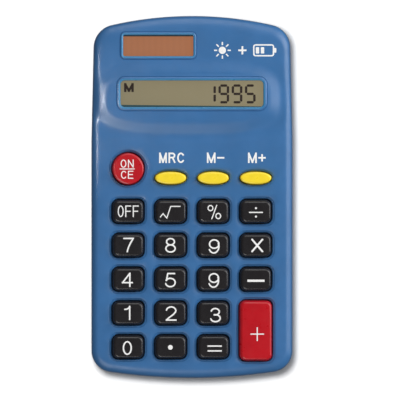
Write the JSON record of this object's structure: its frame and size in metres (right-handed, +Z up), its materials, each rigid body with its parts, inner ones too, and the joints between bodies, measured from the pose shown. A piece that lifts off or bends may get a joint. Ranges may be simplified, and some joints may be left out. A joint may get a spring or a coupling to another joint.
{
  "type": "pocket calculator",
  "caption": "Pocket calculator with a raised display pod, solar cell, round, oval, rectangular and tall keys that press down, and a rear battery door that tilts open.",
  "frame": {"origin": "on the table under the middle of the case", "axes": "+X to the user's right, +Y to the display end, +Z up through the keys"},
  "size_m": [0.0636, 0.1142, 0.0128],
  "materials": {
    "shell_blue": "satin, moulded ABS",
    "key_black": "satin, moulded ABS",
    "key_red": "satin, moulded ABS",
    "key_yellow": "satin, moulded ABS",
    "window_clear": "polished, clear acrylic",
    "lcd_glass": "polished glass over a khaki liquid crystal layer",
    "polariser_film": "smooth film",
    "reflector_film": "brushed foil",
    "frame_white": "matt",
    "strip_pink": "matt",
    "solar_silicon": "glass over brown amorphous silicon",
    "board_laminate": "phenolic paper laminate",
    "chip_epoxy": "cast",
    "capacitor_sleeve": "shrunk sleeve",
    "membrane_silicone": "matt",
    "cell_nickel": "nickel plated",
    "contact_steel": "nickel plated",
    "screw_steel": "zinc plated",
    "wire_red": "PVC insulation",
    "wire_black": "PVC insulation",
    "foot_rubber": "matt",
    "legend_white": "printed ink"
  },
  "bodies": {
    "case": {"front_shell": "shell_blue", "rear_shell": "shell_blue", "display_window": "window_clear", "solar_window": "window_clear", "lcd_panel": "lcd_glass", "lcd_polariser": "polariser_film", "lcd_reflector": "reflector_film", "lcd_frame": "frame_white", "zebra_strip": "strip_pink", "solar_cell": "solar_silicon", "circuit_board": "board_laminate", "chip_cap": "chip_epoxy", "capacitor": "capacitor_sleeve", "keypad_membrane": "membrane_silicone", "button_cell": "cell_nickel", "battery_contact_negative": "contact_steel", "battery_contact_positive": "contact_steel", "solar_wire_red": "wire_red", "solar_wire_black": "wire_black", "case_screw_top_right": "screw_steel", "case_screw_top_left": "screw_steel", "case_screw_bottom_right": "screw_steel", "case_screw_bottom_left": "screw_steel", "board_screw_1": "screw_steel", "board_screw_2": "screw_steel", "board_screw_3": "screw_steel", "board_screw_4": "screw_steel", "board_screw_5": "screw_steel", "board_screw_6": "screw_steel", "board_screw_7": "screw_steel", "foot_top_right": "foot_rubber", "foot_top_left": "foot_rubber", "foot_bottom_right": "foot_rubber", "foot_bottom_left": "foot_rubber"},
    "key_off": {"key_off": "key_black"},
    "key_sqrt": {"key_sqrt": "key_black"},
    "key_percent": {"key_percent": "key_black"},
    "key_divide": {"key_divide": "key_black"},
    "key_7": {"key_7": "key_black"},
    "key_8": {"key_8": "key_black"},
    "key_9": {"key_9": "key_black"},
    "key_multiply": {"key_multiply": "key_black"},
    "key_4": {"key_4": "key_black"},
    "key_5": {"key_5": "key_black"},
    "key_6": {"key_6": "key_black"},
    "key_minus": {"key_minus": "key_black"},
    "key_1": {"key_1": "key_black"},
    "key_2": {"key_2": "key_black"},
    "key_3": {"key_3": "key_black"},
    "key_0": {"key_0": "key_black"},
    "key_point": {"key_point": "key_black"},
    "key_equals": {"key_equals": "key_black"},
    "key_memory_recall": {"key_memory_recall": "key_yellow"},
    "key_memory_minus": {"key_memory_minus": "key_yellow"},
    "key_memory_plus": {"key_memory_plus": "key_yellow"},
    "key_on_clear": {"key_on_clear": "key_red"},
    "key_plus": {"key_plus": "key_red"},
    "battery_door": {"battery_door": "shell_blue"}
  },
  "joints": [
    {"name": "key_off_press", "type": "slide", "parent": "case", "child": "key_off", "axis": [0, 0, -1], "range_m": [0, 0.001], "stiffness_N_per_m": 100, "springref_m": -0.0002, "deforming": ["keypad_membrane"]},
    {"name": "key_sqrt_press", "type": "slide", "parent": "case", "child": "key_sqrt", "axis": [0, 0, -1], "range_m": [0, 0.001], "stiffness_N_per_m": 100, "springref_m": -0.0002, "deforming": ["keypad_membrane"]},
    {"name": "key_percent_press", "type": "slide", "parent": "case", "child": "key_percent", "axis": [0, 0, -1], "range_m": [0, 0.001], "stiffness_N_per_m": 100, "springref_m": -0.0002, "deforming": ["keypad_membrane"]},
    {"name": "key_divide_press", "type": "slide", "parent": "case", "child": "key_divide", "axis": [0, 0, -1], "range_m": [0, 0.001], "stiffness_N_per_m": 100, "springref_m": -0.0002, "deforming": ["keypad_membrane"]},
    {"name": "key_7_press", "type": "slide", "parent": "case", "child": "key_7", "axis": [0, 0, -1], "range_m": [0, 0.001], "stiffness_N_per_m": 100, "springref_m": -0.0002, "deforming": ["keypad_membrane"]},
    {"name": "key_8_press", "type": "slide", "parent": "case", "child": "key_8", "axis": [0, 0, -1], "range_m": [0, 0.001], "stiffness_N_per_m": 100, "springref_m": -0.0002, "deforming": ["keypad_membrane"]},
    {"name": "key_9_press", "type": "slide", "parent": "case", "child": "key_9", "axis": [0, 0, -1], "range_m": [0, 0.001], "stiffness_N_per_m": 100, "springref_m": -0.0002, "deforming": ["keypad_membrane"]},
    {"name": "key_multiply_press", "type": "slide", "parent": "case", "child": "key_multiply", "axis": [0, 0, -1], "range_m": [0, 0.001], "stiffness_N_per_m": 100, "springref_m": -0.0002, "deforming": ["keypad_membrane"]},
    {"name": "key_4_press", "type": "slide", "parent": "case", "child": "key_4", "axis": [0, 0, -1], "range_m": [0, 0.001], "stiffness_N_per_m": 100, "springref_m": -0.0002, "deforming": ["keypad_membrane"]},
    {"name": "key_5_press", "type": "slide", "parent": "case", "child": "key_5", "axis": [0, 0, -1], "range_m": [0, 0.001], "stiffness_N_per_m": 100, "springref_m": -0.0002, "deforming": ["keypad_membrane"]},
    {"name": "key_6_press", "type": "slide", "parent": "case", "child": "key_6", "axis": [0, 0, -1], "range_m": [0, 0.001], "stiffness_N_per_m": 100, "springref_m": -0.0002, "deforming": ["keypad_membrane"]},
    {"name": "key_minus_press", "type": "slide", "parent": "case", "child": "key_minus", "axis": [0, 0, -1], "range_m": [0, 0.001], "stiffness_N_per_m": 100, "springref_m": -0.0002, "deforming": ["keypad_membrane"]},
    {"name": "key_1_press", "type": "slide", "parent": "case", "child": "key_1", "axis": [0, 0, -1], "range_m": [0, 0.001], "stiffness_N_per_m": 100, "springref_m": -0.0002, "deforming": ["keypad_membrane"]},
    {"name": "key_2_press", "type": "slide", "parent": "case", "child": "key_2", "axis": [0, 0, -1], "range_m": [0, 0.001], "stiffness_N_per_m": 100, "springref_m": -0.0002, "deforming": ["keypad_membrane"]},
    {"name": "key_3_press", "type": "slide", "parent": "case", "child": "key_3", "axis": [0, 0, -1], "range_m": [0, 0.001], "stiffness_N_per_m": 100, "springref_m": -0.0002, "deforming": ["keypad_membrane"]},
    {"name": "key_0_press", "type": "slide", "parent": "case", "child": "key_0", "axis": [0, 0, -1], "range_m": [0, 0.001], "stiffness_N_per_m": 100, "springref_m": -0.0002, "deforming": ["keypad_membrane"]},
    {"name": "key_point_press", "type": "slide", "parent": "case", "child": "key_point", "axis": [0, 0, -1], "range_m": [0, 0.001], "stiffness_N_per_m": 100, "springref_m": -0.0002, "deforming": ["keypad_membrane"]},
    {"name": "key_equals_press", "type": "slide", "parent": "case", "child": "key_equals", "axis": [0, 0, -1], "range_m": [0, 0.001], "stiffness_N_per_m": 100, "springref_m": -0.0002, "deforming": ["keypad_membrane"]},
    {"name": "key_memory_recall_press", "type": "slide", "parent": "case", "child": "key_memory_recall", "axis": [0, 0, -1], "range_m": [0, 0.001], "stiffness_N_per_m": 100, "springref_m": -0.0002, "deforming": ["keypad_membrane"]},
    {"name": "key_memory_minus_press", "type": "slide", "parent": "case", "child": "key_memory_minus", "axis": [0, 0, -1], "range_m": [0, 0.001], "stiffness_N_per_m": 100, "springref_m": -0.0002, "deforming": ["keypad_membrane"]},
    {"name": "key_memory_plus_press", "type": "slide", "parent": "case", "child": "key_memory_plus", "axis": [0, 0, -1], "range_m": [0, 0.001], "stiffness_N_per_m": 100, "springref_m": -0.0002, "deforming": ["keypad_membrane"]},
    {"name": "key_on_clear_press", "type": "slide", "parent": "case", "child": "key_on_clear", "axis": [0, 0, -1], "range_m": [0, 0.001], "stiffness_N_per_m": 100, "springref_m": -0.0002, "deforming": ["keypad_membrane"]},
    {"name": "key_plus_press", "type": "slide", "parent": "case", "child": "key_plus", "axis": [0, 0, -1], "range_m": [0, 0.001], "stiffness_N_per_m": 100, "springref_m": -0.0002, "deforming": ["keypad_membrane"]},
    {"name": "battery_door_tilt", "type": "hinge", "parent": "case", "child": "battery_door", "pos_m": [0.012, 0.0368, 0.0014], "axis": [-1, 0, 0], "range_deg": [0, 75]}
  ]
}
